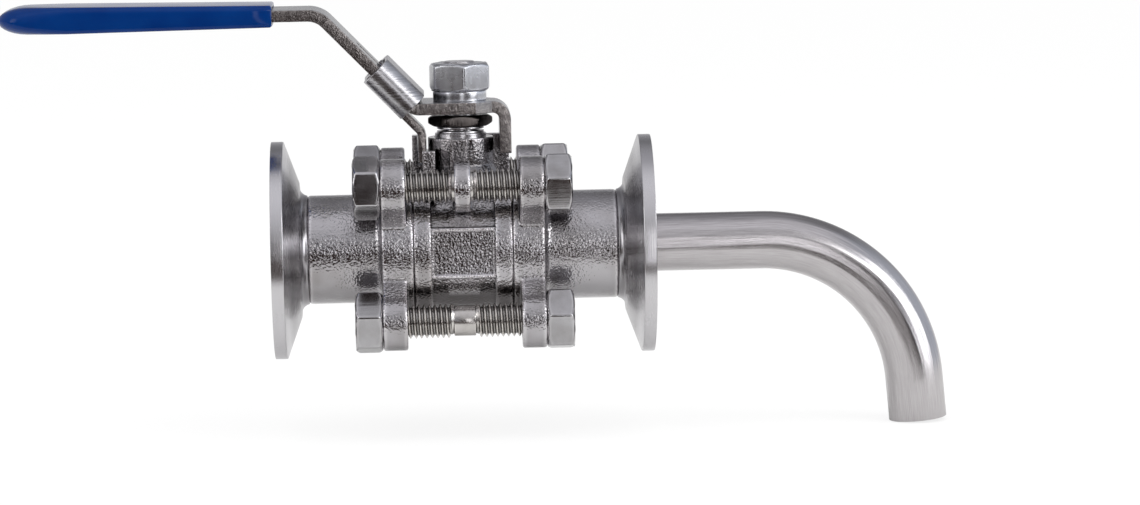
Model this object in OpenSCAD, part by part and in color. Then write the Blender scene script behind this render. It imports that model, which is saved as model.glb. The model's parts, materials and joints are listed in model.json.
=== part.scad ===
// Sanitary ball valve: a cast body between two end caps, clamp ferrules on both ends,
// a bent outlet spout and a lever with a sliding lock sleeve. Shown open.
// The flow runs along +X, the stem along +Z. The origin is the centre of the inlet face.

/* [Overall] */
// Distance between the outer faces of the two ferrules
face_to_face = 88; // [84:1:100]
// Diameter of the port through the ball and seats
port_d = 15; // [12:0.5:16]
// Diameter of the ball
ball_d = 23.2; // [22.6:0.1:23.6]

/* [Clamp ferrules] */
// Outside diameter of the clamp rim
rim_d = 50.5; // [48:0.5:56]
// Thickness of the clamp rim at its edge
rim_t = 2.85; // [2.4:0.05:3.6]
// Slope of the clamped cone
cone_angle = 20; // [15:1:24]
// Length of a ferrule from its face to the weld
ferrule_l = 8.2; // [8:0.1:10]
// Inside diameter of the inlet ferrule
ferrule_bore_d = 22; // [20:0.2:22.2]
// Middle diameter of the gasket groove in the face
groove_d = 43.5; // [40:0.5:45]
// Radius of the gasket groove's section
groove_r = 1.1; // [0.8:0.1:1.3]

/* [End caps] */
// Outside diameter of the round neck
neck_d = 25.2; // [24:0.2:27]
// Inside diameter of the neck
neck_bore_d = 22.6; // [22.4:0.1:23]
// Diameter of the round joint flange
joint_d = 32; // [31.6:0.2:33]
// Thickness of the bolting lobes
lobe_t = 5.7; // [5:0.1:7]
// Height of the round joint face above the lobes
joint_step = 1.65; // [1:0.05:2.5]
// Radius of a bolting lobe
lobe_r = 6.6; // [6.4:0.1:7.2]
// Fillet where the neck meets the flange
neck_fillet = 1.9; // [1:0.1:2.5]

/* [Body casting] */
// Distance between the two joint faces of the body
body_l = 22.8; // [22:0.2:25]
// Diameter of the rings at the two joint faces
ring_d = 31.6; // [31:0.1:32]
// Width of a ring along the flow
ring_w = 4.1; // [3.5:0.1:5]
// Diameter of the barrel between the rings
barrel_d = 29.4; // [28.8:0.1:30.4]
// Distance between the flat front and the flat back of the barrel
flats_w = 27.8; // [27.4:0.1:28.6]
// Height of the bare framed panel on each flat
panel_h = 11.6; // [8:0.2:12]
// Width of the panel's raised edge
panel_edge = 0.7; // [0.5:0.1:1.2]
// Outside diameter of the stem neck
stem_neck_d = 15.2; // [14.8:0.1:15.4]
// Height of the stem neck's top above the flow axis
neck_top_z = 25.7; // [25.2:0.1:26.2]
// Thickness of the lugs that the two upper studs pass
lug_t = 3.7; // [3:0.1:5]
// Radius of a lug round its stud
lug_r = 6; // [5.4:0.1:6.2]

/* [Studs and nuts] */
// Distance between neighbouring studs, across and up
stud_pitch = 31; // [30.8:0.1:32]
// Outside diameter of the studs
stud_d = 7.8; // [7:0.1:8]
// Diameter of the plain middle of a stud
shank_d = 7; // [6.5:0.1:7.4]
// Length of the plain middle of a stud
shank_l = 5; // [4:0.5:8]
// Width of the stud nuts across their flats
nut_af = 13; // [12:0.1:13.2]
// Height of the stud nuts
nut_h = 6.3; // [5:0.1:7]

/* [Stem and packing] */
// Diameter of the stem
stem_d = 8; // [7.6:0.1:8.2]
// Width of the stem across its two flats
stem_flats = 6.2; // [5.6:0.1:6.6]
// Diameter of the packing bore in the stem neck
packing_d = 12; // [11.6:0.1:12.2]
// Thickness of the stem's tongue in the ball
tang_t = 4; // [3:0.1:5]
// Diameter of the stem's collar inside the body
collar_d = 10.8; // [10:0.1:11.2]
// Height of the thin nut on the packing
gland_nut_h = 2.7; // [2:0.1:2.8]
// Height of the nut on top of the lever
lever_nut_h = 6.5; // [5:0.1:8]

/* [Lever] */
// Distance from the stem to the free end of the lever
lever_l = 104; // [90:1:120]
// Width of the lever
lever_w = 19; // [16:0.5:20]
// Thickness of the lever
lever_t = 2.7; // [2:0.1:3]
// Height of the lever's lower surface above the flow axis
lever_z = 31.45; // [31.3:0.05:32]
// Height that the lever gains between its two bends
lever_rise = 22.1; // [21:0.1:30]
// Slope of the rising part of the lever
lever_slope = 46; // [42:1:50]
// Distance from the stem to the lower bend
lever_bend_x = 10.8; // [10.6:0.1:12]
// Distance from the stem to the inner face of the stop tab
tab_x = 9; // [8.9:0.1:9.4]
// Width of the stop tab
tab_w = 11.5; // [9:0.5:12]
// Height of the stop tab's lower end above the flow axis
tab_z = 22; // [21.8:0.1:23]

/* [Grip] */
// Length of the soft sleeve over the lever
grip_l = 63; // [50:1:70]
// Thickness of the sleeve at its open end
grip_t = 5.2; // [5:0.1:6.5]
// How much thicker the sleeve is at its closed end
grip_swell = 1.3; // [0:0.1:2]
// Wall of the sleeve at the lever's edges
grip_wall = 1.5; // [1:0.1:2.5]
// Rounding of the sleeve's long edges
grip_round = 1.6; // [1:0.1:2.2]
// Length of the sleeve's rounded nose
grip_nose = 6.8; // [6:0.2:8]

/* [Lock] */
// Length of the lock sleeve along the lever
lock_l = 12; // [10:0.5:13]
// Thickness of the lock sleeve across the lever
lock_t = 7.7; // [7.4:0.1:8.4]
// Wall of the lock sleeve
lock_wall = 1; // [0.8:0.1:1.2]
// Thickness of the lock tongue
tongue_t = 1.95; // [1.5:0.05:2]
// Width of the lock tongue
tongue_w = 7.2; // [6:0.2:7.4]
// Height of the tongue's tip above the flow axis
tongue_z = 19.9; // [19.7:0.1:21]
// Travel of the lock sleeve up the lever
lock_travel = 8; // [4:0.5:8]
// Diameter of the guide rivet
rivet_d = 3.8; // [3:0.1:5]

/* [Spout] */
// Outside diameter of the spout tube
spout_d = 13.4; // [12:0.1:14]
// Inside diameter of the spout tube
spout_bore_d = 11.4; // [9:0.1:11.6]
// Radius of the spout's bend at its middle line
bend_r = 35.5; // [30:0.5:45]
// Angle of the spout's bend
bend_angle = 85.4; // [60:0.2:95]
// Distance from the ferrule's face to the start of the bend
spout_run = 25.5; // [15:0.5:40]
// Length of the straight end of the spout
spout_end = 10; // [8:0.5:20]
// Depth of the tube's end inside the outlet ferrule
spout_socket = 6; // [4:0.5:7]

/* [Clearances] */
// Play of the stem in its bore and of the rivet in its slot, at each side
running_fit = 0.08; // [0.05:0.01:0.1]
// Play between a stud and the holes it passes, at each side
stud_play = 0.3; // [0.2:0.05:0.4]
// Gap between parts that move past each other
moving_gap = 0.3; // [0.2:0.05:0.4]
// Gap between faces that slide on each other
face_gap = 0.05; // [0.03:0.01:0.08]
// Play of the spout tube in its ferrule before it is welded, at each side
weld_gap = 0.03; // [0.02:0.01:0.05]

/* [Hidden] */

$fn = 64;
steel = [0.72, 0.71, 0.70];
cast_steel = [0.60, 0.59, 0.57];
white_plastic = [0.92, 0.92, 0.89];
blue_vinyl = [0.03, 0.20, 0.50];

half_l = face_to_face / 2;
joint_x = body_l / 2 + face_gap;
lobe_x = joint_x + joint_step;
flange_x = lobe_x + lobe_t;
weld_x = half_l - ferrule_l;
stud_y = stud_pitch / 2;
stud_hole_d = stud_d + 2 * stud_play;
nut_x = flange_x + face_gap;
stud_l = 2 * (nut_x + nut_h);
stud_corners = [for (y = [-1, 1], z = [-1, 1]) [y * stud_y, z * stud_y]];

ball_r = ball_d / 2;
cavity_d = ball_d + 1.6;
seat_d = ball_d - 2;
seat_x = 6.2;
seat_seat_x = joint_x + 1.2;
seal_t = 0.9;
seal_d = cavity_d + 3.2;

pocket_z = 13.9;
washer_t = 0.5;
collar_h = 1.4;
packing_z = 18.6;
ring_h = 1.75;
packing_top_z = packing_z + 3 * ring_h;
gland_top_z = neck_top_z + 0.9;
gland_d = packing_d - 2 * face_gap;
spring_d = 11;
spring_z = gland_top_z + face_gap;
gland_nut_z = lever_z - 0.55 - gland_nut_h;
washer_h = 2.2;
spring_washer_z = lever_z + lever_t;
lever_nut_z = spring_washer_z + washer_h;
stem_top_z = lever_nut_z + lever_nut_h + 0.4;

lever_mid_z = lever_z + lever_t / 2;
grip_mid_z = lever_mid_z + lever_rise;
upper_bend_x = lever_bend_x + lever_rise / tan(lever_slope);
tab_mid_x = tab_x + lever_t / 2;
lever_corner = 5;
taper_x = 3.6;
taper_end_x = 7.4;
low_bend = [-lever_bend_x, lever_mid_z];
lever_path = [[-lever_l, grip_mid_z], [-upper_bend_x, grip_mid_z], low_bend,
    [tab_mid_x, lever_mid_z], [tab_mid_x, tab_z]];
lever_bends = [6, 3.4, 2.9];

tongue_gap = 0.35;
tongue_off = lever_t / 2 + tongue_gap + tongue_t / 2;
tongue_x = stem_neck_d / 2 + moving_gap + 0.1 + tongue_t / 2;
tongue_sweep_r = norm([tongue_x + tongue_t / 2, tongue_w / 2]);
lock_floor = lever_t / 2 + tongue_gap + tongue_t;
lock_mid = lock_t / 2 - lock_floor;
lock_start = 0.4;
rivet_s = 10;
lock_w = lever_w + 4.2;
ear_top_z = neck_top_z;
ear_x = body_l / 2 - 0.1;

// Unit vector, and the vector a quarter turn to its left
function unit(v) = v / norm(v);
function left(v) = [-v[1], v[0]];
// Signed turn from one direction to the next
function turn(a, b) = atan2(a[0] * b[1] - a[1] * b[0], a * b);
// Points of one rounded bend of a strip, at a distance to the left of its middle line
function bend(p, q, s, r, off) = let (
    a = unit(q - p), t = turn(a, unit(s - q)), w = sign(t),
    c = q - a * r * tan(abs(t) / 2) + left(a) * w * r, start = atan2(a[1], a[0]), n = 10)
    [for (k = [0:n]) let (d = start + t * k / n)
        c - left([cos(d), sin(d)]) * (w * r - off)];
// One long side of a strip that follows a path with a rounded bend at each inner point
function side(path, radii, off) = let (
    n = len(path) - 1, a = unit(path[1] - path[0]), b = unit(path[n] - path[n - 1]))
    concat([path[0] + left(a) * off],
        [for (i = [1:n - 1]) each bend(path[i - 1], path[i], path[i + 1], radii[i - 1], off)],
        [path[n] + left(b) * off]);
function reversed(v) = [for (i = [len(v) - 1:-1:0]) v[i]];

// Point at a distance up the lever's slope, and at a distance off its middle surface
function on_slope(s, off) = low_bend
    + s * [-cos(lever_slope), sin(lever_slope)] + off * [sin(lever_slope), cos(lever_slope)];

// Strip bent in the XZ plane, of a given width across Y
module bent_strip(path, radii, t, w)
    rotate([90, 0, 0]) linear_extrude(height = w, center = true)
        polygon(concat(side(path, radii, t / 2), reversed(side(path, radii, -t / 2))));

// Round bar, or with a bore a tube, along +X
module bar(d, x0, x1) translate([x0, 0, 0]) rotate([0, 90, 0]) cylinder(d = d, h = x1 - x0);
module tube(d, bore, x0, x1) difference() {
    bar(d, x0, x1);
    bar(bore, x0 - 1, x1 + 1);
}

// Flat ring round the stem
module ring(d, bore, z, h) translate([0, 0, z]) difference() {
    cylinder(d = d, h = h);
    translate([0, 0, -1]) cylinder(d = bore, h = h + 2);
}

// Hexagon nut with both ends chamfered, its bore along +Z
module hex_nut(af, h, bore) {
    face_r = af / 2 - 0.25;
    rise = 1;
    difference() {
        intersection() {
            cylinder(d = af / cos(30), h = h, $fn = 6);
            rotate_extrude() polygon([[0, 0], [face_r, 0], [face_r + rise / tan(30), rise],
                [face_r + rise / tan(30), h - rise], [face_r, h], [0, h]]);
        }
        translate([0, 0, -1]) cylinder(d = bore, h = h + 2);
    }
}

// Sets a part made for the outlet side on the inlet side
module inlet_side() mirror([1, 0, 0]) children();

// Places a part at each of the four studs, with its own X along the flow
module at_studs() for (c = stud_corners) translate([0, c[0], c[1]]) children();

// End cap: round neck, joint flange and four bolting lobes, made for the outlet side
module end_cap() difference() {
    union() {
        fillet_edge = neck_d / 2 + neck_fillet;
        translate([joint_x, 0, 0]) rotate([0, 90, 0]) rotate_extrude() {
            square([joint_d / 2, flange_x - joint_x]);
            translate([0, flange_x - joint_x]) difference() {
                square([fillet_edge, weld_x - flange_x]);
                translate([fillet_edge, neck_fillet]) circle(r = neck_fillet);
                translate([neck_d / 2, neck_fillet]) square([2 * neck_fillet, weld_x]);
            }
        }
        translate([lobe_x, 0, 0]) rotate([90, 0, 90]) linear_extrude(height = lobe_t)
            difference() {
                union() {
                    for (c = stud_corners) translate(c) circle(r = lobe_r);
                    for (a = [45, 135]) rotate(a)
                        square([stud_pitch * sqrt(2), 2 * lobe_r - 0.8], center = true);
                }
                circle(d = joint_d - 1);
            }
    }
    rotate([0, 90, 0]) rotate_extrude() polygon([[0, joint_x - 1],
        [seat_d / 2 + face_gap, joint_x - 1], [seat_d / 2 + face_gap, seat_seat_x + face_gap],
        [port_d / 2, seat_seat_x + face_gap], [port_d / 2, flange_x + 1.2],
        [neck_bore_d / 2, flange_x + 6.2], [neck_bore_d / 2, weld_x + 1], [0, weld_x + 1]]);
    at_studs() bar(stud_hole_d, lobe_x - 1, flange_x + 1);
}
module inlet_cap() color(cast_steel) inlet_side() end_cap();
module outlet_cap() color(cast_steel) end_cap();

// Clamp ferrule from its weld to its face, with the gasket groove, for the outlet side
module ferrule(bore) {
    slope_r = neck_d / 2 + 3.1;
    slope_h = (rim_d / 2 - slope_r) * tan(cone_angle);
    root = ferrule_l - rim_t - slope_h;
    translate([weld_x, 0, 0]) rotate([0, 90, 0]) rotate_extrude($fn = 96) difference() {
        union() {
            square([neck_d / 2, ferrule_l]);
            polygon([[0, root], [slope_r, root], [rim_d / 2, root + slope_h],
                [rim_d / 2, ferrule_l], [0, ferrule_l]]);
            difference() {
                square([neck_d / 2 + 2.2, root]);
                translate([neck_d / 2 + 2.2, root - 2.2]) circle(r = 2.2);
                translate([0, -1]) square([neck_d / 2 + 3, 1 + max(0, root - 2.2)]);
            }
        }
        translate([-1, -1]) square([bore / 2 + 1, ferrule_l + 2]);
        translate([groove_d / 2, ferrule_l + groove_r * 0.35]) circle(r = groove_r);
    }
}
module inlet_ferrule() color(steel) inlet_side() ferrule(ferrule_bore_d);
module outlet_ferrule() color(steel) ferrule(spout_d + 2 * weld_gap);

// Bent tube welded into the outlet ferrule
module spout_form(d, over) {
    translate([half_l + spout_run, 0, -bend_r]) rotate([-90, 0, 0]) rotate([0, 0, -90]) {
        translate([bend_r, 0, 0]) rotate([90, 0, 0])
            cylinder(d = d, h = spout_run + spout_socket + over);
        rotate_extrude(angle = bend_angle) translate([bend_r, 0]) circle(d = d);
        rotate([0, 0, bend_angle]) translate([bend_r, 0, 0]) rotate([-90, 0, 0])
            cylinder(d = d, h = spout_end + over);
    }
}
module spout() color(steel) difference() {
    spout_form(spout_d, 0);
    spout_form(spout_bore_d, 1);
}

// Guard ear beside the tongue, and the two ears that the tab meets, open and closed
module stop_ears() {
    root_z = 12;
    difference() {
        translate([-ear_x, tongue_w / 2 + 0.4, root_z])
            cube([3.4, 3.8, ear_top_z - root_z]);
        translate([0, 0, tongue_z - 1]) cylinder(r = tongue_sweep_r + moving_gap, h = neck_top_z);
    }
    translate([stem_neck_d / 2 - 3.2, tab_w / 2 + moving_gap, root_z])
        cube([ear_x - stem_neck_d / 2 + 3.2, 2.9, ear_top_z - root_z]);
    translate([-tab_w / 2 - moving_gap - 2.9, -11.1, root_z])
        cube([2.9, 7, tab_z + 1.3 - root_z]);
}

// Bare panel with a raised edge, for the flat front of the barrel
module panel() {
    w = body_l - 2 * ring_w + 0.4;
    translate([-w / 2, -flats_w / 2 - 0.45, -panel_h / 2]) difference() {
        cube([w, 1.2, panel_h]);
        translate([panel_edge, -1, panel_edge])
            cube([w - 2 * panel_edge, 1.4, panel_h - 2 * panel_edge]);
    }
}

// Lug that an upper stud passes, joined to the barrel
module lug(s) {
    reach = 9;
    translate([0, s * stud_y, stud_y]) bar(2 * lug_r, -lug_t / 2, lug_t / 2);
    translate([-lug_t / 2, s > 0 ? stud_y - reach : -stud_y, stud_y - lug_r])
        cube([lug_t, reach, lug_r + 2.4]);
}

// Middle casting: barrel, joint rings, stem neck, lugs and ears, bored for ball and stem
module body() color(cast_steel) difference() {
    union() {
        intersection() {
            bar(barrel_d, -body_l / 2, body_l / 2);
            cube([body_l, flats_w, barrel_d], center = true);
        }
        for (s = [-1, 1]) translate([s * (body_l - ring_w) / 2, 0, 0])
            bar(ring_d, -ring_w / 2, ring_w / 2);
        for (a = [0, 180]) rotate([0, 0, a]) panel();
        translate([0, 0, 6]) cylinder(d = stem_neck_d, h = neck_top_z - 6);
        translate([0, 0, 6]) cylinder(d = stem_neck_d + 3.6, h = 10.6);
        translate([0, 0, 16.6])
            cylinder(d1 = stem_neck_d + 3.6, d2 = stem_neck_d, h = 2.8);
        translate([-2.7, -stem_neck_d / 2 - 0.8, 17]) cube([4.2, 4, neck_top_z - 17]);
        for (s = [-1, 1]) lug(s);
        stop_ears();
    }
    bar(cavity_d, -body_l, body_l);
    for (s = [-1, 1]) translate([s * (body_l / 2), 0, 0])
        bar(seal_d + 2 * face_gap, -seal_t, seal_t);
    at_studs() bar(stud_hole_d, -body_l / 2 - 1, body_l / 2 + 1);
    cylinder(d = collar_d + 0.5, h = pocket_z);
    cylinder(d = stem_d + 2 * running_fit, h = neck_top_z + 1);
    translate([0, 0, packing_z]) cylinder(d = packing_d, h = neck_top_z);
}

// Plastic seat that the ball turns against, for the outlet side
module seat() difference() {
    tube(seat_d, port_d, seat_x, seat_seat_x);
    sphere(r = ball_r + face_gap);
}
module inlet_seat() color(white_plastic) inlet_side() seat();
module outlet_seat() color(white_plastic) seat();

// Flat seal in the body's joint face, for the outlet side
module seal() tube(seal_d, cavity_d + 0.2, body_l / 2 - seal_t, body_l / 2);
module inlet_seal() color(white_plastic) inlet_side() seal();
module outlet_seal() color(white_plastic) seal();

// Four studs, threaded at both ends, with a plain middle
module tie_studs() color(steel) at_studs() {
    tip = 0.8;
    end = stud_l / 2;
    bar(shank_d, -shank_l / 2, shank_l / 2);
    for (a = [0, 180]) rotate([0, 0, a]) {
        bar(stud_d, shank_l / 2, end - tip);
        translate([end - tip, 0, 0]) rotate([0, 90, 0])
            cylinder(d1 = stud_d, d2 = stud_d - 2 * tip, h = tip);
    }
}

// Four nuts on one end of the studs, each left at its own turn, for the outlet side
module stud_nuts(turns) for (k = [0:3]) translate([nut_x, stud_corners[k][0], stud_corners[k][1]])
    rotate([0, 90, 0]) rotate([0, 0, turns[k]]) hex_nut(nut_af, nut_h, stud_d + 0.04);
module inlet_nuts() color(steel) inlet_side() stud_nuts([14, -3, 25, 8]);
module outlet_nuts() color(steel) stud_nuts([18, 15, -10, 20]);

module thrust_washer() color(white_plastic)
    ring(collar_d, stem_d + 0.3, pocket_z - washer_t, washer_t);

// Three chevron rings that seal the stem
module stem_packing() color(white_plastic) for (k = [0:2])
    translate([0, 0, packing_z + k * ring_h]) rotate_extrude() {
        inner = stem_d / 2 + running_fit;
        outer = packing_d / 2 - 0.02;
        mid = (inner + outer) / 2;
        peak = k < 2 ? 0.4 : 0;
        polygon([[inner, 0], [mid, k > 0 ? 0.4 : 0], [outer, 0],
            [outer, ring_h - 0.05], [mid, ring_h - 0.05 + peak], [inner, ring_h - 0.05]]);
    }

module gland_ring() color(steel)
    ring(gland_d, stem_d + 2 * running_fit, packing_top_z, gland_top_z - packing_top_z);

// Ball with its port and the slot that takes the stem's tongue
module ball() color(steel) difference() {
    sphere(r = ball_r, $fn = 96);
    bar(port_d, -ball_r - 1, ball_r + 1);
    translate([-tang_t / 2 - face_gap, -ball_r, ball_r - 2.8]) cube([tang_t + 2 * face_gap, ball_d, 4]);
}

// Stem: tongue in the ball, collar against blow-out, round shaft and two flats on top
module stem() color(steel) {
    collar_z = pocket_z - washer_t - face_gap - collar_h;
    intersection() {
        translate([-tang_t / 2, -collar_d / 2, ball_r - 2.7])
            cube([tang_t, collar_d, collar_z - ball_r + 2.8]);
        cylinder(d = collar_d, h = pocket_z);
    }
    translate([0, 0, collar_z]) cylinder(d = collar_d, h = collar_h);
    translate([0, 0, collar_z]) cylinder(d = stem_d, h = lever_z - collar_z);
    intersection() {
        translate([0, 0, lever_z]) union() {
            cylinder(d = stem_d, h = stem_top_z - lever_z - 0.6);
            translate([0, 0, stem_top_z - lever_z - 0.6])
                cylinder(d1 = stem_d, d2 = stem_d - 1.2, h = 0.6);
        }
        translate([-stem_d, -stem_flats / 2, 0]) cube([2 * stem_d, stem_flats, 2 * stem_top_z]);
    }
}

// Two cupped spring washers, set edge to edge, between the gland ring and its nut
module disc_springs() color(steel) {
    room = gland_nut_z - spring_z - face_gap;
    bore = stem_d / 2 + running_fit;
    t = room / 2 - 0.05;
    lift = 0.3 * t;
    for (k = [0, 1]) translate([0, 0, spring_z + k * room]) mirror([0, 0, k])
        rotate_extrude() polygon([[bore, lift], [spring_d / 2, 0],
            [spring_d / 2, t - lift], [bore, t]]);
}

module gland_nut() color(steel) translate([0, 0, gland_nut_z]) rotate([0, 0, 3])
    hex_nut(nut_af, gland_nut_h, stem_d + 0.04);

// Outline of the lever seen from above, grown by a given distance
module lever_plan(grow) {
    w = lever_w / 2 + grow;
    tab = tab_w / 2 + grow;
    end = lever_l + grow;
    polygon([[-end, w - lever_corner], [-end, lever_corner - w], [lever_corner - end, -w],
        [taper_x, -w], [taper_end_x, -tab], [2 * tab_x, -tab], [2 * tab_x, tab],
        [taper_end_x, tab], [taper_x, w], [lever_corner - end, w]]);
}

// Lever: bent strip with a stop tab, the stem's hole and the slot for the lock's rivet
module lever() color(steel) difference() {
    intersection() {
        bent_strip(lever_path, lever_bends, lever_t, lever_w);
        linear_extrude(height = 2 * grip_mid_z) lever_plan(0);
    }
    intersection() {
        cylinder(d = stem_d + 0.1, h = grip_mid_z);
        translate([-stem_d, -stem_flats / 2 - face_gap, 0])
            cube([2 * stem_d, stem_flats + 2 * face_gap, grip_mid_z]);
    }
    on_lever(rivet_s) hull_slot();
}

// Sets children on the lever's slope, Z off its surface and X up the slope
module on_lever(s) {
    p = on_slope(s, 0);
    translate([p[0], 0, p[1]]) rotate([0, lever_slope, 0]) mirror([1, 0, 0]) children();
}

// Slot with round ends that the guide rivet runs in
module hull_slot() {
    d = rivet_d + 2 * running_fit;
    for (x = [0, lock_travel]) translate([x, 0, -lever_t]) cylinder(d = d, h = 2 * lever_t);
    translate([0, -d / 2, -lever_t]) cube([lock_travel, d, 2 * lever_t]);
}

// Slice of the sleeve across the lever, with rounded corners
module grip_slice(x, t) {
    w = lever_w + 2 * grip_wall;
    for (s = [-1, 1], v = [-1, 1])
        translate([x, s * (w / 2 - grip_round), grip_mid_z + v * (t / 2 - grip_round)])
            rotate([0, 90, 0]) cylinder(r = grip_round, h = 0.5, $fn = 24);
}

// Soft sleeve pushed over the lever, thicker towards its rounded nose
module grip() color(blue_vinyl) {
    open_x = -lever_l - 1.8 + grip_l;
    closed_x = open_x - grip_l;
    end_t = grip_t + grip_swell;
    difference() {
        hull() {
            grip_slice(open_x - 0.5, grip_t);
            grip_slice(closed_x + grip_nose + 2, end_t);
            for (s = [-1, 1])
                translate([closed_x + grip_nose, s * (lever_w / 2 + grip_wall - grip_nose), grip_mid_z])
                    scale([1, 1, end_t / 2 / grip_nose]) sphere(r = grip_nose, $fn = 32);
        }
        translate([0, 0, grip_mid_z - lever_t / 2 - face_gap])
            linear_extrude(height = lever_t + 2 * face_gap) lever_plan(face_gap);
    }
}

// Split spring washer under the lever nut
module spring_washer() color(steel) difference() {
    ring(12.4, stem_d + 0.3, spring_washer_z, washer_h);
    translate([0, 0, spring_washer_z + washer_h / 2]) rotate([20, 0, 150])
        translate([0, -0.3, -3]) cube([8, 0.6, 6]);
}

module lever_nut() color(steel) translate([0, 0, lever_nut_z]) rotate([0, 0, 38])
    hex_nut(nut_af, lever_nut_h, stem_d + 0.04);

// Flat tube with round edges, along +X, its middle on the X axis
module flat_tube(w, t, l) rotate([90, 0, 90]) linear_extrude(height = l) {
    square([w - t, t], center = true);
    for (s = [-1, 1]) translate([s * (w - t) / 2, 0]) circle(d = t);
}

// Lock sleeve that slides on the lever, open below for the tongue
module lock_sleeve() color(steel) on_lever(lock_start) translate([0, 0, lock_mid]) difference() {
    flat_tube(lock_w, lock_t, lock_l);
    translate([-1, 0, 0]) flat_tube(lock_w - 2 * lock_wall, lock_t - 2 * lock_wall, lock_l + 2);
    translate([-1, -tongue_w / 2, -lock_t])
        cube([lock_l + 2, tongue_w, lock_t - lock_mid - lever_t / 2]);
}

// Lock tongue: a strip under the lever that turns down beside the stem neck
module lock_tongue() color(steel) {
    top = on_slope(lock_start + lock_l, -tongue_off);
    along = [-cos(lever_slope), sin(lever_slope)];
    knee = top + along * ((-tongue_x - top[0]) / along[0]);
    bent_strip([[-tongue_x, tongue_z], knee, top], [2.2], tongue_t, tongue_w);
}

// Guide rivet from the tongue through the lever's slot
module lock_rivet() color(steel) on_lever(rivet_s) {
    foot = lever_t / 2 + tongue_gap;
    translate([0, 0, -foot]) cylinder(d = rivet_d, h = foot + lever_t / 2 + 0.4);
    translate([0, 0, lever_t / 2 + moving_gap]) cylinder(d = rivet_d + 2.2, h = 0.9);
}

module placed() translate([half_l, 0, 0]) children();

placed() body();
placed() inlet_cap();
placed() outlet_cap();
placed() inlet_ferrule();
placed() outlet_ferrule();
placed() spout();
placed() inlet_seat();
placed() outlet_seat();
placed() inlet_seal();
placed() outlet_seal();
placed() tie_studs();
placed() inlet_nuts();
placed() outlet_nuts();
placed() thrust_washer();
placed() stem_packing();
placed() gland_ring();
placed() ball();
placed() stem();
placed() disc_springs();
placed() gland_nut();
placed() lever();
placed() grip();
placed() spring_washer();
placed() lever_nut();
placed() lock_sleeve();
placed() lock_tongue();
placed() lock_rivet();
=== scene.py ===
import json
import math

import bpy
from mathutils import Matrix, Vector

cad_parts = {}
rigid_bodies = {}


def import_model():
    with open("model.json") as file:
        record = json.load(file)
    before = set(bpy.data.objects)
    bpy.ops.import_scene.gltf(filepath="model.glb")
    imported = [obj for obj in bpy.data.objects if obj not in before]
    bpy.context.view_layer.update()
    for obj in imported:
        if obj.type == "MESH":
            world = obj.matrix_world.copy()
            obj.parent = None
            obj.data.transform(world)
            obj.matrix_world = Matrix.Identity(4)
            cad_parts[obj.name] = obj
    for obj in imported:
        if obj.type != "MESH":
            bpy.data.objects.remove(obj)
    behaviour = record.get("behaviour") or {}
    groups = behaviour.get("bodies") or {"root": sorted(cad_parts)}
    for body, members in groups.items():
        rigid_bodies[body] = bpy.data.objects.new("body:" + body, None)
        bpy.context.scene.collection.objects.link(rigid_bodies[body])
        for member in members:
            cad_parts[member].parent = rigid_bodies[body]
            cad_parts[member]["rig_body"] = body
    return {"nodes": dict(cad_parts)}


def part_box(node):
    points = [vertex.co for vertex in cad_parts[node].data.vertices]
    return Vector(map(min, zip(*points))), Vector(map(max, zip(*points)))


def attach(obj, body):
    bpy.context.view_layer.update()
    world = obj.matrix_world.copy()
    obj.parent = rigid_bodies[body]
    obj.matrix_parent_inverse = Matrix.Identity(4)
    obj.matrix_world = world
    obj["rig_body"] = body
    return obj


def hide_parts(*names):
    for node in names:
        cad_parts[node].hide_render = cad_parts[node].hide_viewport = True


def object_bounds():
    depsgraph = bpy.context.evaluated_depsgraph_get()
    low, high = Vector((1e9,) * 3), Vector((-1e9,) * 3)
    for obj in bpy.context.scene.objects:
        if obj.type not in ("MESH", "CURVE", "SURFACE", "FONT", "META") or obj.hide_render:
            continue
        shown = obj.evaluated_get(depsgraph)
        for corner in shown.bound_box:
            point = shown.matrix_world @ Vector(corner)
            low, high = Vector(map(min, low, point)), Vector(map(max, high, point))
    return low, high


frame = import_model()
cad_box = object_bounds()
nodes = frame["nodes"]

# The view: a long lens about 1.1 m in front of the valve and a little above it, turned
# by one degree, so that the flow axis climbs slightly to the right as in the photograph.
eye = Vector((0.0342, -1.094, 0.1153))
aim = Vector((0.0689, 0.0, -0.0020))
roll = math.radians(1.1)
view_width = 0.2655
forward = (aim - eye).normalized()
level = forward.cross(Vector((0, 0, 1))).normalized()
upward = level.cross(forward)
right = level * math.cos(roll) - upward * math.sin(roll)
up = level * math.sin(roll) + upward * math.cos(roll)
camera = bpy.data.objects.new("camera", bpy.data.cameras.new("camera"))
bpy.context.scene.collection.objects.link(camera)
camera.matrix_world = Matrix.Translation(eye) @ Matrix((right, up, -forward)).transposed().to_4x4()
camera.data.sensor_width = 36
camera.data.lens = camera.data.sensor_width * (aim - eye).length / view_width
camera.data.clip_start = 0.01
camera.data.clip_end = 20
bpy.context.scene.camera = camera
bpy.context.scene.view_settings.view_transform = "Standard"


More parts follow.
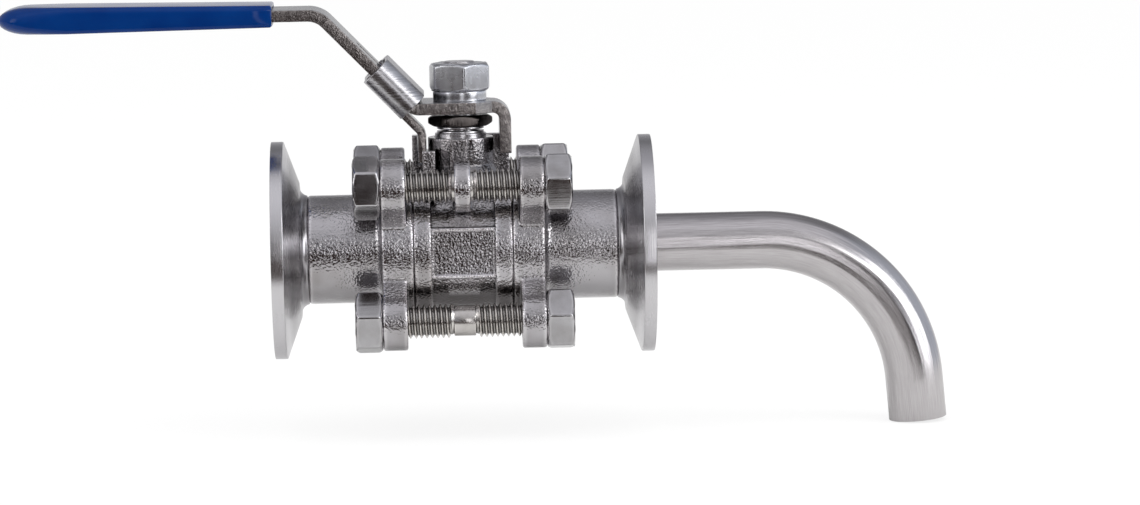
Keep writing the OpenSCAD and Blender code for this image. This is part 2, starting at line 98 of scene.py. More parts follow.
# The studio: a pale paper floor in a white room, soft lamps overhead, at both sides and high
# on the right. The steel mirrors a tent that only reflections see: grey, dark round the
# camera, with a bright strip right of it and a dim one left, and a dark apron on the floor.
class Wire:
    """A value or a colour on its way through a material's nodes."""

    def __init__(self, tree, socket=None):
        self.tree, self.socket = tree, socket

    def node(self, kind, settings=(), sockets=(), output=0):
        made = self.tree.nodes.new("ShaderNode" + kind)
        for name, value in dict(settings).items():
            if name == "stops":
                ramp_stops = made.color_ramp.elements
                while len(ramp_stops) < len(value):
                    ramp_stops.new(1)
                for stop, (place, shade) in zip(ramp_stops, value):
                    stop.position = place
                    stop.color = (shade, shade, shade, 1) if isinstance(shade, float) else (*shade, 1)
            else:
                setattr(made, name, value)
        for name, value in dict(sockets).items():
            if isinstance(value, Wire):
                self.tree.links.new(value.socket, made.inputs[name])
            else:
                made.inputs[name].default_value = value
        return Wire(self.tree, made.outputs[output] if len(made.outputs) else None)

    def reckon(self, operation, first, second=0.0):
        return self.node("Math", {"operation": operation}, {0: first, 1: second})

    def __add__(self, other):
        return self.reckon("ADD", self, other)

    def __radd__(self, other):
        return self.reckon("ADD", other, self)

    def __sub__(self, other):
        return self.reckon("SUBTRACT", self, other)

    def __rsub__(self, other):
        return self.reckon("SUBTRACT", other, self)

    def __mul__(self, other):
        return self.reckon("MULTIPLY", self, other)

    def __rmul__(self, other):
        return self.reckon("MULTIPLY", other, self)

    def __truediv__(self, other):
        return self.reckon("DIVIDE", self, other)

    def __pow__(self, other):
        return self.reckon("POWER", self, other)

    def __abs__(self):
        return self.reckon("ABSOLUTE", self)


def blank(holder):
    """The first wire in the emptied nodes of a material or a world."""
    holder.use_nodes = True
    holder.node_tree.nodes.clear()
    return Wire(holder.node_tree)


def measures(place):
    """The three measures of a place, along X, Y and Z."""
    split = place.node("SeparateXYZ", (), {0: place}).socket.node
    return [Wire(place.tree, measure) for measure in split.outputs]


def fade(value, start, end):
    """0 up to the start, 1 from the end on, and even between them."""
    return value.node("Clamp", (), {0: (value - start) / (end - start)})


def ramp(value, *stops):
    """The shade or colour that the stops give to a value."""
    return value.node("ValToRGB", {"stops": stops}, {0: value})


def blend(amount, first, second):
    """The first colour where the amount is 0, and the second where it is 1."""
    return amount.node("MixRGB", (), {0: amount, 1: first, 2: second})


white = (1, 1, 1, 1)
room = bpy.data.worlds.new("white_room")
bpy.context.scene.world = room
air = blank(room)
seen = air.node("LightPath", output="Is Camera Ray")
for ray in ("Is Glossy Ray", "Is Reflection Ray", "Is Transmission Ray"):
    seen = seen + air.node("LightPath", output=ray)
white_air = air.node("Background", (), {"Color": white, "Strength": 1.0})
soft_air = air.node("Background", (), {"Color": white, "Strength": 0.55})
mixed_air = air.node("MixShader", (), {0: seen, 1: soft_air, 2: white_air})
air.node("OutputWorld", (), {0: mixed_air})

floor_z = cad_box[0].z
bpy.ops.mesh.primitive_plane_add(size=12, location=(0.07, 0, floor_z))
floor = bpy.context.object
floor.name = "floor"
paper = bpy.data.materials.new("floor_paper")
ink = blank(paper)
tone = 0.93 - ink.node("LightPath", output="Is Glossy Ray") * 0.23
matt = ink.node("BsdfDiffuse", (), {"Color": tone})
glow = ink.node("Emission", (), {"Color": white, "Strength": 1.0})
glow_share = ink.node("LightPath", output="Is Camera Ray") * 0.82
ink.node("OutputMaterial", (), {0: ink.node("MixShader", (), {0: glow_share, 1: matt, 2: glow})})
floor.data.materials.append(paper)

for name, place, width, height, power, reflected in (
    ("top_lamp", (0.05, -0.25, 0.95), 0.9, 0.5, 3.0, False),
    ("left_lamp", (-0.99, -0.60, 0.30), 0.42, 0.9, 2.6, True),
    ("right_lamp", (1.09, -0.60, 0.30), 0.55, 0.9, 4.4, True),
    ("key_lamp", (0.79, -0.88, 0.61), 0.35, 0.35, 1.1, True),
):
    lamp = bpy.data.lights.new(name, "AREA")
    lamp.shape = "RECTANGLE"
    lamp.size, lamp.size_y, lamp.energy = width, height, power
    hung = bpy.data.objects.new(name, lamp)
    bpy.context.scene.collection.objects.link(hung)
    hung.location = place
    hung.rotation_euler = (Vector((0.05, 0, 0)) - Vector(place)).to_track_quat("-Z", "Y").to_euler()
    hung.visible_glossy = reflected

tent_r = 2.4
bpy.ops.mesh.primitive_uv_sphere_add(segments=48, ring_count=24, radius=tent_r, location=(0.05, 0, 0))
tent = bpy.context.object
tent.name = "tent"
tent.visible_camera = tent.visible_diffuse = tent.visible_shadow = tent.visible_transmission = False
bpy.ops.object.shade_smooth()
lining = bpy.data.materials.new("tent_lining")
spot = blank(lining).node("TexCoord", output="Object")
across, back, rise = (measure / tent_r for measure in measures(spot))
rise = rise * 0.5 + 0.5
before_valve = ramp(
    rise,
    (0.50, (0.020, 0.013, 0.012)),
    (0.60, (0.060, 0.048, 0.048)),
    (0.72, (0.56, 0.56, 0.58)),
    (0.94, (0.80, 0.80, 0.84)),
)
behind_valve = ramp(
    rise,
    (0.50, (0.85, 0.85, 0.85)),
    (0.61, (0.42, 0.42, 0.44)),
    (0.82, (0.17, 0.17, 0.18)),
    (0.97, (0.42, 0.42, 0.45)),
)
depth = fade(back, -0.2, 0.2)
lined = blend(depth, before_valve, behind_valve)
lined = blend(fade(across, -0.46667, -0.8), lined, (0.46, 0.46, 0.48, 1))
lined = blend(fade(across, 0.46667, 0.8), lined, (0.58, 0.62, 0.70, 1))
bright_strip = fade(across, 0.055, 0.080) * fade(across, 0.240, 0.215) * fade(rise, 0.68, 0.64)
dim_strip = fade(across, -0.16, -0.19333) * fade(across, -0.46667, -0.43333) * fade(rise, 0.80, 0.76)
lined = blend(bright_strip * (1 - depth), lined, (2.2, 2.2, 2.25, 1))
lined = blend(dim_strip * (1 - depth), lined, (0.33, 0.33, 0.36, 1))
spot.node("OutputMaterial", (), {0: spot.node("Emission", (), {"Color": lined, "Strength": 1.0})})
tent.data.materials.append(lining)

bpy.ops.mesh.primitive_plane_add(size=2, location=(0.05, -1.095, floor_z + 0.002))
apron = bpy.context.object
apron.name = "apron"
apron.scale = (1.6, 1.0, 1)
bpy.ops.object.transform_apply(location=True, rotation=True, scale=True)
apron.visible_camera = apron.visible_diffuse = apron.visible_shadow = False
cloth = bpy.data.materials.new("apron_cloth")
laid = blank(cloth).node("TexCoord", output="Object")
apron_x, apron_y = measures(laid)[:2]
away = 0.0 - apron_y
slant = (apron_x - 0.075) / away
bright_cloth = fade(slant, 0.035, 0.060) * fade(slant, 0.240, 0.215) * fade(away, 0.14, 0.18)
cloth_tone = blend(bright_cloth, (0.050, 0.034, 0.030, 1), (1.6, 1.6, 1.65, 1))
laid.node("OutputMaterial", (), {0: laid.node("Emission", (), {"Color": cloth_tone, "Strength": 1.0})})
apron.data.materials.append(cloth)


# The middle casting and the two end caps: investment-cast stainless steel, blasted and
# lightly polished, so every edge is round and the skin keeps a fine grain. Round the stem's
# neck and under the panel the colour is painted darker, as painted shade.
def select_only(piece):
    bpy.ops.object.select_all(action="DESELECT")
    piece.select_set(True)
    bpy.context.view_layer.objects.active = piece


def softened(name, source, width, segments=2, sharp=32, fine=None, broad=None):
    """A merged copy of a solid with its sharp edges rounded, only finely where broad says no."""
    piece = bpy.data.objects.new(name, nodes[source].data.copy())
    bpy.context.scene.collection.objects.link(piece)
    select_only(piece)
    bpy.ops.mesh.customdata_custom_splitnormals_clear()
    bpy.ops.object.mode_set(mode="EDIT")
    bpy.ops.mesh.select_all(action="SELECT")
    bpy.ops.mesh.remove_doubles(threshold=2e-6)
    bpy.ops.mesh.dissolve_limited(angle_limit=math.radians(0.3))
    bpy.ops.mesh.select_all(action="DESELECT")
    bpy.ops.mesh.select_mode(type="FACE")
    bpy.ops.mesh.select_face_by_sides(number=4, type="GREATER")
    bpy.ops.mesh.quads_convert_to_tris(quad_method="BEAUTY", ngon_method="BEAUTY")
    bpy.ops.mesh.select_all(action="DESELECT")
    bpy.ops.mesh.select_mode(type="EDGE")
    bpy.ops.mesh.edges_select_sharp(sharpness=math.radians(sharp))
    bpy.ops.object.mode_set(mode="OBJECT")
    weights = piece.data.attributes.new("bevel_weight_edge", "FLOAT", "EDGE")
    corners = piece.data.vertices
    for rib, weight in zip(piece.data.edges, weights.data):
        ends = [corners[k].co for k in rib.vertices]
        full = broad is None or all(broad(*end) for end in ends)
        weight.value = (1.0 if full else fine / width) if rib.select else 0.0
    edge = piece.modifiers.new("edge", "BEVEL")
    edge.width = width
    edge.segments = segments
    edge.limit_method = "WEIGHT"
    edge.use_clamp_overlap = False
    edge.miter_outer = "MITER_ARC"
    bpy.ops.object.modifier_apply(modifier="edge")
    bpy.ops.object.shade_smooth_by_angle(angle=math.radians(38))
    flat = piece.modifiers.new("flat", "WEIGHTED_NORMAL")
    flat.keep_sharp = True
    flat.weight = 80
    bpy.ops.object.modifier_apply(modifier="flat")
    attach(piece, nodes[source]["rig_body"])
    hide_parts(source)
    return piece


def surface(name, metallic=1.0):
    """A material, its shader, and the wire that its grain starts from."""
    made = bpy.data.materials.new(name)
    made.use_nodes = True
    skin = made.node_tree.nodes["Principled BSDF"]
    skin.inputs["Metallic"].default_value = metallic
    return made, skin, Wire(made.node_tree).node("TexCoord", output="Object")


def noise(place, scale, detail=2.0, roughness=0.5):
    """An uneven pattern, finer for a larger scale."""
    grain = {"Vector": place, "Scale": scale, "Detail": detail, "Roughness": roughness}
    return place.node("TexNoise", (), grain)


def join(wire, skin, socket):
    wire.tree.links.new(wire.socket, skin.inputs[socket])


def emboss(skin, height, depth, strength=1.0, **normal):
    """Works a pattern into a surface, this deep in metres."""
    bump = {"Strength": strength, "Distance": depth, "Height": height, **normal}
    join(height.node("Bump", (), bump), skin, "Normal")


def painted_shade_and_highlight(spot, colour, crease_depth, edge_depth, dark=0.25, bright=1.5):
    """A colour darkened in the creases as painted shade, and brightened on the edges as a painted highlight.
    """
    near = {"samples": 6, "only_local": True}
    crease = spot.node("AmbientOcclusion", near, {"Distance": crease_depth}, output="AO")
    edge = spot.node("AmbientOcclusion", {**near, "inside": True}, {"Distance": edge_depth}, output="AO")
    open_face = ramp(crease, (0.25, 0.0), (0.85, 1.0))
    edge_highlight_mask = ramp(edge, (0.60, 1.0), (0.97, 0.0))
    painted_light_level = (dark + open_face * (1 - dark)) * (1 + edge_highlight_mask * (bright - 1))
    return spot.node("VectorMath", {"operation": "SCALE"}, {0: colour, "Scale": painted_light_level})


def wear(piece, material):
    piece.data.materials.clear()
    piece.data.materials.append(material)


stem_x = 0.044
stud_y = 0.0155
cast, cast_skin, spot = surface("cast_steel")
dimples = noise(spot, 1900.0, 1.5)
ripple = noise(spot, 240.0)
cloud = noise(spot, 90.0, 3.0)
pits = spot.node("TexVoronoi", (), {"Vector": spot, "Scale": 520.0})
sound = ramp(pits, (0.0, 0.0), (0.16, 1.0))
round_edge = spot.node("Bevel", {"samples": 6}, {"Radius": 0.0005})
emboss(cast_skin, dimples * 0.6 + ripple * 0.4 + sound * 0.06, 0.00026, Normal=round_edge)
join(0.02 + cloud * 0.12 + (1 - sound) * 0.08, cast_skin, "Roughness")
cast_x, cast_y, cast_z = measures(spot)
beside = abs(cast_x - stem_x)
off_lug = fade(beside, 0.0035, 0.0045)
round_neck = fade(cast_z, 0.013778, 0.0160)
under_panel = fade(cast_z, -0.007375, -0.008625) * 1.4
set_back = fade(cast_y + off_lug * 0.004444, -0.011556, -0.010444)
between_caps = fade(beside, 0.0138, 0.0128)
# Painted shade: darker round the stem's neck and under the panel, behind the front faces and between the
# caps.
painted_neck_panel_shade = (round_neck + under_panel) * set_back * between_caps
stain_and_painted_shade = ramp(cloud, (0.30, (0.36, 0.343, 0.343)), (0.62, (0.50, 0.486, 0.500)))
stain_and_painted_shade = blend(painted_neck_panel_shade * 0.55, stain_and_painted_shade, (0.075, 0.066, 0.064, 1))
# Painted shade in the creases and a painted highlight on the edges.
join(painted_shade_and_highlight(spot, stain_and_painted_shade, 0.0018, 0.0011, dark=0.08, bright=2.0), cast_skin, "Base Color")

lug_half_t, lug_r = 0.00185, 0.0055
ring_x, ring_r, ear_z = 0.0072, 0.0158, 0.009


def on_lug_or_ring(x, y, z):
    """Whether a corner lies on the outline of a lug, or of a joint ring below the ears."""
    off = abs(x - stem_x)
    lug = math.isclose(off, lug_half_t, abs_tol=0.00002) and math.hypot(abs(y) - stud_y, z - stud_y) > lug_r
    ring = off > ring_x and math.isclose(math.hypot(y, z), ring_r, abs_tol=0.00003) and z < ear_z
    return lug or ring


for name, source, width, broad in (
    ("cast_body", "body", 0.0005, on_lug_or_ring),
    ("cast_inlet_cap", "inlet_cap", 0.0006, None),
    ("cast_outlet_cap", "outlet_cap", 0.0006, None),
):
    casting = softened(name, source, width, segments=3, fine=0.00018, broad=broad)
    wear(casting, cast)

# The panel stands a little prouder than in the solid, and its frame prouder still.
panel_half_w, panel_half_h = 0.0076, 0.0060
panel_low, frame_low, frame_high = 0.0138, 0.0141, 0.0145
panel_lift, frame_lift = 0.0002, 0.0003
for vert in bpy.data.objects["cast_body"].data.vertices:
    x, y, z = vert.co
    if abs(x - stem_x) < panel_half_w and abs(z) < panel_half_h and panel_low < abs(y) < frame_high:
        vert.co.y += math.copysign(frame_lift if abs(y) > frame_low else panel_lift, y)

# The two clamp ferrules: turned from stainless bar and welded on the cap necks. The tool has
# left fine rings round the flow axis. The colour is painted darker near the axis and paler towards the rim,
# as painted shade and painted sheen.
turned, turned_skin, spot = surface("turned_steel")
bar_x, bar_y, bar_z = measures(spot)
radius = (bar_y * bar_y + bar_z * bar_z) ** 0.5
tool_lines = noise(spot.node("CombineXYZ", (), {0: radius, 1: bar_x}), 5200.0)
smear = noise(spot, 160.0, 3.0)
emboss(turned_skin, tool_lines, 0.00004, 0.3)
join(0.15 + smear * 0.12 + tool_lines * 0.08, turned_skin, "Roughness")
# Painted shade near the flow axis and a painted sheen towards the rim.
rimward_painted_light = fade(radius, 0.0205, 0.0230)
join(blend(rimward_painted_light, (0.42, 0.407, 0.42, 1), (0.64, 0.628, 0.643, 1)), turned_skin, "Base Color")
for name, source in (("turned_inlet_ferrule", "inlet_ferrule"), ("turned_outlet_ferrule", "outlet_ferrule")):
    ferrule = softened(name, source, 0.00018)
    wear(ferrule, turned)

# The spout: thin polished tube, bent once on a former, cut square at its mouth. Its polish
# runs along the tube, so the piece carries its own lengthwise and roundwise measures.
tube_r, tube_wall = 0.0067, 0.001
tube_x = 0.0822
bend_x = 2 * stem_x + 0.0255
bend_r = 0.0355
bend_turn = math.radians(85.4)
straight_end = 0.010
straight_steps = 6
bpy.ops.object.select_all(action="DESELECT")
bpy.ops.mesh.primitive_circle_add(
    vertices=72, radius=tube_r, location=(tube_x, 0, 0), rotation=(0, math.pi / 2, 0)
)
spout = bpy.context.object
spout.name = "spout_tube"
bpy.ops.object.transform_apply(location=True, rotation=True, scale=True)
bpy.ops.object.mode_set(mode="EDIT")
bpy.ops.mesh.select_all(action="SELECT")
straight_step = ((bend_x - tube_x) / straight_steps, 0, 0)
for step in range(straight_steps):
    bpy.ops.mesh.extrude_region_move(TRANSFORM_OT_translate={"value": straight_step})
bpy.ops.mesh.spin(steps=56, angle=-bend_turn, center=(bend_x, 0, -bend_r), axis=(0, 1, 0))
mouth_step = (straight_end * math.cos(bend_turn), 0, -straight_end * math.sin(bend_turn))
bpy.ops.mesh.extrude_region_move(TRANSFORM_OT_translate={"value": mouth_step})
bpy.ops.object.mode_set(mode="OBJECT")
along = spout.data.attributes.new("along", "FLOAT", "POINT")
around = spout.data.attributes.new("around", "FLOAT", "POINT")
for vert, run, turn in zip(spout.data.vertices, along.data, around.data):
    x, y, z = vert.co
    lean = min(max(math.atan2(x - bend_x, z + bend_r), 0.0), bend_turn)
    middle = Vector((bend_x + bend_r * math.sin(lean), 0, bend_r * math.cos(lean) - bend_r))
    outward = Vector((math.sin(lean), 0, math.cos(lean)))
    onward = Vector((math.cos(lean), 0, -math.sin(lean)))
    if x < bend_x:
        middle, outward, onward = Vector((bend_x, 0, 0)), Vector((0, 0, 1)), Vector((1, 0, 0))
    run.value = bend_r * lean + (vert.co - middle).dot(onward)
    turn.value = math.atan2(y, (vert.co - middle).dot(outward))
wall = spout.modifiers.new("wall", "SOLIDIFY")
wall.thickness = tube_wall
wall.offset = -1
rim = spout.modifiers.new("rim", "BEVEL")
rim.width = 0.00018
rim.segments = 2
rim.limit_method = "ANGLE"
rim.angle_limit = math.radians(50)
select_only(spout)
bpy.ops.object.mode_set(mode="EDIT")
bpy.ops.mesh.select_all(action="SELECT")
bpy.ops.mesh.normals_make_consistent(inside=False)
bpy.ops.object.mode_set(mode="OBJECT")
bpy.ops.object.modifier_apply(modifier="wall")
bpy.ops.object.modifier_apply(modifier="rim")
bpy.ops.object.shade_smooth_by_angle(angle=math.radians(40))
polished, polished_skin, spot = surface("polished_tube")
run = spot.node("Attribute", {"attribute_name": "along"}, output="Fac")
turn = spot.node("Attribute", {"attribute_name": "around"}, output="Fac")
belt_lines = noise(spot.node("CombineXYZ", (), {0: run * 60.0, 1: turn * 14.0}), 2.2, 5.0, 0.7)
dents = noise(spot.node("CombineXYZ", (), {0: run * 9.0, 1: turn * 1.6}), 2.0, 1.0)
haze = noise(spot, 70.0, 3.0)
specks = spot.node("TexVoronoi", (), {"Vector": spot, "Scale": 700.0})
clear = ramp(specks, (0.0, 0.0), (0.10, 1.0))
emboss(polished_skin, belt_lines * 0.08 + clear * 0.03 + dents, 0.00024)
join(0.13 + haze * 0.10 + belt_lines * 0.06, polished_skin, "Roughness")
streaked = ramp(belt_lines, (0.35, (0.46, 0.438, 0.442)), (0.60, (0.60, 0.578, 0.585)))
join(streaked, polished_skin, "Base Color")
wear(spout, polished)
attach(spout, "valve")
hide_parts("spout")

# The seats, the two joint seals, the thrust washer and the packing: white fluoropolymer,
# turned smooth, seen only through the bore and where the joints part.
ptfe, ptfe_skin, spot = surface("white_plastic", metallic=0.0)
ptfe_skin.inputs["Roughness"].default_value = 0.45
milk = noise(spot, 300.0)
join(ramp(milk, (0.3, (0.86, 0.86, 0.83)), (0.7, (0.93, 0.93, 0.91))), ptfe_skin, "Base Color")
emboss(ptfe_skin, milk, 0.00003, 0.2)
for source in ("inlet_seat", "outlet_seat", "inlet_seal", "outlet_seal", "thrust_washer", "stem_packing"):
    wear(nodes[source], ptfe)

# The ball: a pierced stainless ball between the two seats, ground and lapped to a mirror.
# It is seen through the inlet's bore.
mirror, mirror_skin, spot = surface("ball_polish")
mirror_skin.inputs["Base Color"].default_value = (0.72, 0.71, 0.70, 1)
join(0.06 + noise(spot, 900.0) * 0.05, mirror_skin, "Roughness")
wear(nodes["ball"], mirror)

# The four studs: rolled thread at both ends of a plain middle. One end is screwed round as a
# ridge, cut to length and given its tip, then turned about for the other end and copied.
stud_r, stud_half = 0.0039, 0.02515
root_r, pitch = 0.00315, 0.00125
shank_r, shank_half = 0.0035, 0.0025
runout, runout_share = 0.0006, 0.93
tip, tip_share = 0.0007, 0.82
ridge = [(0.0, root_r), (0.10, root_r), (0.44, stud_r), (0.56, stud_r), (0.90, root_r), (1.0, root_r)]
bpy.ops.object.select_all(action="DESELECT")
bpy.ops.mesh.primitive_plane_add(size=pitch)
stud = bpy.context.object
stud.name = "stud_lower_front"
bpy.ops.object.mode_set(mode="EDIT")
bpy.ops.mesh.select_all(action="SELECT")
bpy.ops.mesh.delete(type="VERT")
bpy.ops.object.mode_set(mode="OBJECT")
stud.data.from_pydata([(x * pitch, 0, r) for x, r in ridge], [(k, k + 1) for k in range(len(ridge) - 1)], [])
thread = stud.modifiers.new("thread", "SCREW")
thread.axis = "X"
thread.screw_offset = pitch
thread.angle = 2 * math.pi
thread.iterations = 27
thread.steps = 28
thread.render_steps = 28
thread.use_merge_vertices = True
thread.merge_threshold = 1e-6
select_only(stud)
bpy.ops.object.modifier_apply(modifier="thread")
bpy.ops.object.mode_set(mode="EDIT")
bpy.ops.mesh.select_all(action="SELECT")
bpy.ops.mesh.remove_doubles(threshold=1e-6)
bpy.ops.mesh.bisect(plane_co=(shank_half + runout, 0, 0), plane_no=(1, 0, 0), clear_inner=True, use_fill=True)
bpy.ops.mesh.extrude_region_move(TRANSFORM_OT_translate={"value": (-runout, 0, 0)})
bpy.ops.transform.resize(value=(1, runout_share, runout_share), center_override=(0, 0, 0))
bpy.ops.mesh.select_all(action="SELECT")
bpy.ops.mesh.bisect(plane_co=(stud_half - tip, 0, 0), plane_no=(1, 0, 0), clear_outer=True, use_fill=True)
bpy.ops.mesh.extrude_region_move(TRANSFORM_OT_translate={"value": (tip, 0, 0)})
bpy.ops.transform.resize(value=(1, tip_share, tip_share), center_override=(0, 0, 0))
bpy.ops.mesh.select_all(action="SELECT")
bpy.ops.mesh.duplicate()
bpy.ops.transform.rotate(value=math.pi, orient_axis="Z", center_override=(0, 0, 0))
bpy.ops.mesh.select_all(action="DESELECT")
bpy.ops.mesh.primitive_cylinder_add(
    vertices=40, radius=shank_r, depth=2 * shank_half, location=(0, 0, 0), rotation=(0, math.pi / 2, 0)
)
bpy.ops.mesh.bevel(offset=0.00025, segments=2)
bpy.ops.mesh.select_all(action="SELECT")
bpy.ops.mesh.normals_make_consistent(inside=False)
bpy.ops.object.mode_set(mode="OBJECT")
# The modelling leaves a face doubled on each end, and validate takes the doubles out. Without
# its doubles, every copy exports whole.
stud.data.validate()
bpy.ops.object.shade_smooth_by_angle(angle=math.radians(35))
fastener, fastener_skin, spot = surface("stud_steel")
grease = noise(spot, 260.0, 3.0)
rolled_thread = ramp(grease, (0.3, (0.50, 0.475, 0.455)), (0.66, (0.68, 0.655, 0.63)))
# Painted shade in the thread's roots and a painted highlight on its crests.
join(painted_shade_and_highlight(spot, rolled_thread, 0.0009, 0.0004, dark=0.05, bright=1.45), fastener_skin, "Base Color")
join(0.16 + grease * 0.16, fastener_skin, "Roughness")
emboss(fastener_skin, noise(spot, 1800.0), 0.00004, 0.25)
wear(stud, fastener)
for side, y in (("front", -stud_y), ("rear", stud_y)):
    for row, z in (("lower", -stud_y), ("upper", stud_y)):
        rod = bpy.data.objects.new(f"stud_{row}_{side}_piece", stud.data.copy())
        bpy.context.scene.collection.objects.link(rod)
        rod.data.transform(Matrix.Translation((stem_x, y, z)))
        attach(rod, "valve")
        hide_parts("tie_studs")
bpy.data.objects.remove(stud)

# The nuts on the studs: cold-formed hexagons, chamfered on both faces and tumbled bright,
# with faint drawing lines along their flats. What sits above the lever is more satin, and its colour is
# painted paler as painted light.
hexagon, hexagon_skin, spot = surface("nut_steel")
drawn = spot.node("Mapping", (), {"Vector": spot, "Scale": (60.0, 1500.0, 1500.0)})
emboss(hexagon_skin, noise(drawn, 1.0, 3.0), 0.00004, 0.3)
dull = noise(spot, 220.0, 3.0)
above = fade(measures(spot)[2], 0.0275, 0.0300)
join(0.07 + dull * 0.13 + above * 0.14, hexagon_skin, "Roughness")
tone_and_painted_light = ramp(dull, (0.3, (0.36, 0.350, 0.352)), (0.7, (0.47, 0.463, 0.475)))
# Painted light: paler colour above the lever.
tone_and_painted_light = blend(above * 0.7, tone_and_painted_light, (0.56, 0.57, 0.60, 1))
# Painted shade in the creases and a painted highlight on the edges.
join(painted_shade_and_highlight(spot, tone_and_painted_light, 0.0010, 0.0009, bright=1.8), hexagon_skin, "Base Color")
for name, source in (("hex_inlet_nuts", "inlet_nuts"), ("hex_outlet_nuts", "outlet_nuts")):
    nuts = softened(name, source, 0.00038, segments=3, sharp=25)
    wear(nuts, hexagon)

# The stem and what sits on it under the lever: gland ring, cupped spring washers and a thin
# nut. All are turned from stainless bar, and the nut's colour is painted dark, as painted shade under the
# lever.
shaded_nut_metal, shaded_nut_skin, spot = surface("painted_shade_nut_steel")
nut_mottle = noise(spot, 500.0, 3.0)
join(0.14 + nut_mottle * 0.16, shaded_nut_skin, "Roughness")
# Painted shade: the nut's colour is nearly black.
painted_shade_tone = ramp(nut_mottle, (0.3, (0.06, 0.052, 0.049)), (0.7, (0.15, 0.134, 0.128)))
# Painted shade in the creases and a painted highlight on the edges.
join(painted_shade_and_highlight(spot, painted_shade_tone, 0.0008, 0.0003, bright=1.6), shaded_nut_skin, "Base Color")
for name, source, width, metal, slot in (
    ("turned_stem", "stem", 0.00010, turned, "turned_steel"),
    ("turned_gland_ring", "gland_ring", 0.00010, turned, "turned_steel"),
    ("cupped_springs", "disc_springs", 0.00010, turned, "turned_steel"),
    ("thin_gland_nut", "gland_nut", 0.00022, shaded_nut_metal, "fastener_steel"),
):
    part = softened(name, source, width, sharp=25)
    wear(part, metal)

# The lever: a strip blanked from sheet, bent four times and barrel-finished, so its edges
# are round. Its faces keep long faint rolling lines, and its cut sides are torn and darker.
pressed, pressed_skin, spot = surface("lever_steel")
rolled = spot.node("Mapping", (), {"Vector": spot, "Scale": (90.0, 1900.0, 90.0)})
rolled_lines = noise(rolled, 1.0, 4.0, 0.6)
patch = noise(spot, 120.0, 3.0)
emboss(pressed_skin, rolled_lines * 0.4 + noise(spot, 2600.0, 1.0) * 0.6, 0.00009, 0.6)
join(0.17 + patch * 0.16, pressed_skin, "Roughness")
facing = measures(spot.node("TexCoord", output="Normal"))
cut_side = fade(abs(facing[1]), 0.60, 0.76667)
torn = ramp(noise(spot, 1300.0), (0.35, (0.15, 0.128, 0.120)), (0.65, (0.40, 0.365, 0.350)))
sheet = ramp(patch, (0.3, (0.42, 0.415, 0.42)), (0.7, (0.56, 0.56, 0.57)))
sheet = blend(cut_side * 0.85, sheet, torn)
# Painted shade in the creases and a painted highlight on the edges.
join(painted_shade_and_highlight(spot, sheet, 0.0008, 0.0003, bright=1.5), pressed_skin, "Base Color")
lever = softened("pressed_lever", "lever", 0.00022, sharp=50)
wear(lever, pressed)

# On top of the lever: a split spring washer and a full hexagon nut on the stem's thread.
# Both are cold formed, their colour is painted paler above the lever as painted light, and they hold the
# lever down on the stem's flats.
for name, source, width in (
    ("split_washer", "spring_washer", 0.00025),
    ("hex_lever_nut", "lever_nut", 0.00038),
):
    part = softened(name, source, width, sharp=25)
    wear(part, hexagon)

# The lock: a sleeve folded round the lever, its tongue beside the stem neck and the rivet
# that guides it in the lever's slot. The sleeve's faces are brushed across its length.
brushed, brushed_skin, spot = surface("sleeve_steel")
slope = spot.node("Mapping", (), {"Vector": spot, "Scale": (80.0, 110.0, 2600.0)})
brush_lines = noise(slope, 1.0)
emboss(brushed_skin, brush_lines, 0.00006, 0.6)
join(0.20 + brush_lines * 0.18, brushed_skin, "Roughness")
satin = ramp(brush_lines, (0.3, (0.42, 0.412, 0.425)), (0.7, (0.58, 0.572, 0.588)))
# Painted shade in the creases and a painted highlight on the edges.
join(painted_shade_and_highlight(spot, satin, 0.0006, 0.0003, bright=1.4), brushed_skin, "Base Color")
for name, source, width, metal in (
    ("folded_lock_sleeve", "lock_sleeve", 0.00022, brushed),
    ("bent_lock_tongue", "lock_tongue", 0.00035, pressed),
    ("domed_lock_rivet", "lock_rivet", 0.0003, pressed),
):
    part = softened(name, source, width, sharp=40)
    wear(part, metal)

# The grip: a soft vinyl sleeve, dipped on a former and pushed over the lever. It is flat with
# round edges, swells towards a round nose, and its mouth shows the thickness of its wall.
grip_low, grip_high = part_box("grip")
lever_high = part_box("lever")[1]
mouth_x, nose_x = grip_high.x, grip_low.x
grip_z = (grip_low.z + grip_high.z) / 2
grip_half_w = (grip_high.y - grip_low.y) / 2
mouth_half_t, nose_half_t = 0.0026, (grip_high.z - grip_low.z) / 2
nose_r, edge_r = 0.0068, 0.0016
lip_l, lip_round = 0.0004, 0.0003
strip_half_w, strip_half_t = lever_high.y, 0.00135
bow_angles = (4, 10, 18, 28, 40, 53, 66, 78, 90)
sleeve_rings = 12


def grip_ring(reach):
    """Place, half width, half thickness and corner of the sleeve, at a distance from its nose."""
    length = mouth_x - nose_x
    swell = mouth_half_t + (nose_half_t - mouth_half_t) * min(1.0, (length - reach) / (length - nose_r))
    bow = math.sqrt(max(0.0, 1 - max(0.0, 1 - reach / nose_r) ** 2))
    fill = min(1.0, reach / (2 * nose_r)) ** 2
    half_t = swell * bow
    corner_y = nose_r * bow * (1 - fill) + edge_r * fill
    corner_z = half_t * (1 - fill) + min(edge_r, half_t) * fill
    return nose_x + reach, grip_half_w - nose_r * (1 - bow), half_t, corner_y, corner_z


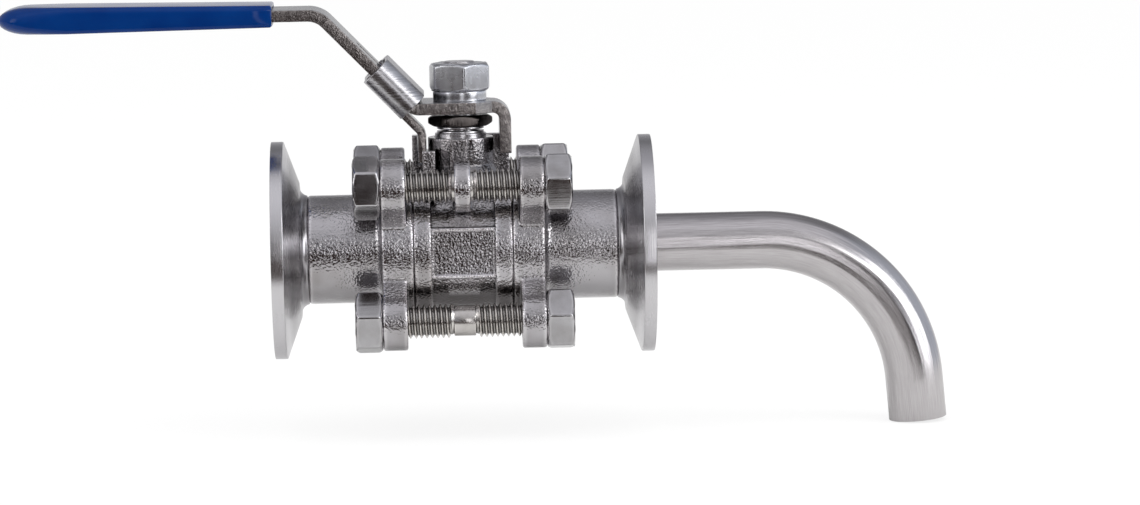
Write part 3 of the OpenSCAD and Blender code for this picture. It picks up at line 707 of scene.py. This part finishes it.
rings = [grip_ring(nose_r * (1 - math.cos(math.radians(angle)))) for angle in bow_angles]
sleeve_l = mouth_x - nose_x - nose_r - lip_l
rings += [grip_ring(nose_r + k * sleeve_l / sleeve_rings) for k in range(1, sleeve_rings + 1)]
lip = rings[-1]
rings.append((mouth_x, lip[1] - lip_round, lip[2] - lip_round, lip[3], lip[4] - lip_round))
for inset, gap, corner in ((0.0, 0.0004, 0.0005), (lip_l, 0.0001, 0.0004), (0.0020, -0.0004, 0.0004)):
    rings.append((mouth_x - inset, strip_half_w + gap, strip_half_t + gap, corner, corner))
bpy.ops.object.select_all(action="DESELECT")
bpy.ops.mesh.primitive_circle_add(vertices=64, radius=1, location=(0, 0, 0), rotation=(0, math.pi / 2, 0))
grip = bpy.context.object
grip.name = "vinyl_grip"
bpy.ops.object.transform_apply(location=True, rotation=True, scale=True)
bpy.ops.object.mode_set(mode="EDIT")
bpy.ops.mesh.select_all(action="SELECT")
for ring in rings[1:]:
    bpy.ops.mesh.extrude_region_move(TRANSFORM_OT_translate={"value": (1, 0, 0)})
bpy.ops.object.mode_set(mode="OBJECT")
for vert in grip.data.vertices:
    place, half_w, half_t, corner_y, corner_z = rings[round(vert.co.x)]
    wide, high = vert.co.y, vert.co.z
    vert.co = (
        place,
        corner_y * wide + (half_w - corner_y) * max(-1.0, min(1.0, 3 * wide)),
        grip_z + corner_z * high + (half_t - corner_z) * max(-1.0, min(1.0, 3 * high)),
    )
select_only(grip)
bpy.ops.object.mode_set(mode="EDIT")
bpy.ops.mesh.select_mode(type="EDGE")
bpy.ops.mesh.select_all(action="SELECT")
bpy.ops.mesh.region_to_loop()
bpy.ops.mesh.fill_holes(sides=0)
bpy.ops.mesh.select_all(action="SELECT")
bpy.ops.mesh.normals_make_consistent(inside=False)
bpy.ops.object.mode_set(mode="OBJECT")
bpy.ops.object.shade_smooth_by_angle(angle=math.radians(50))
vinyl, vinyl_skin, spot = surface("blue_vinyl", metallic=0.0)
vinyl_skin.inputs["Specular IOR Level"].default_value = 0.16
dip = noise(spot, 90.0, 3.0)
join(ramp(dip, (0.35, (0.0001, 0.018, 0.110)), (0.65, (0.0001, 0.025, 0.134))), vinyl_skin, "Base Color")
join(0.09 + dip * 0.10, vinyl_skin, "Roughness")
emboss(vinyl_skin, dip * 0.8 + noise(spot, 900.0, 3.0) * 0.2, 0.00008, 0.25)
wear(grip, vinyl)
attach(grip, "handle")
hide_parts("grip")
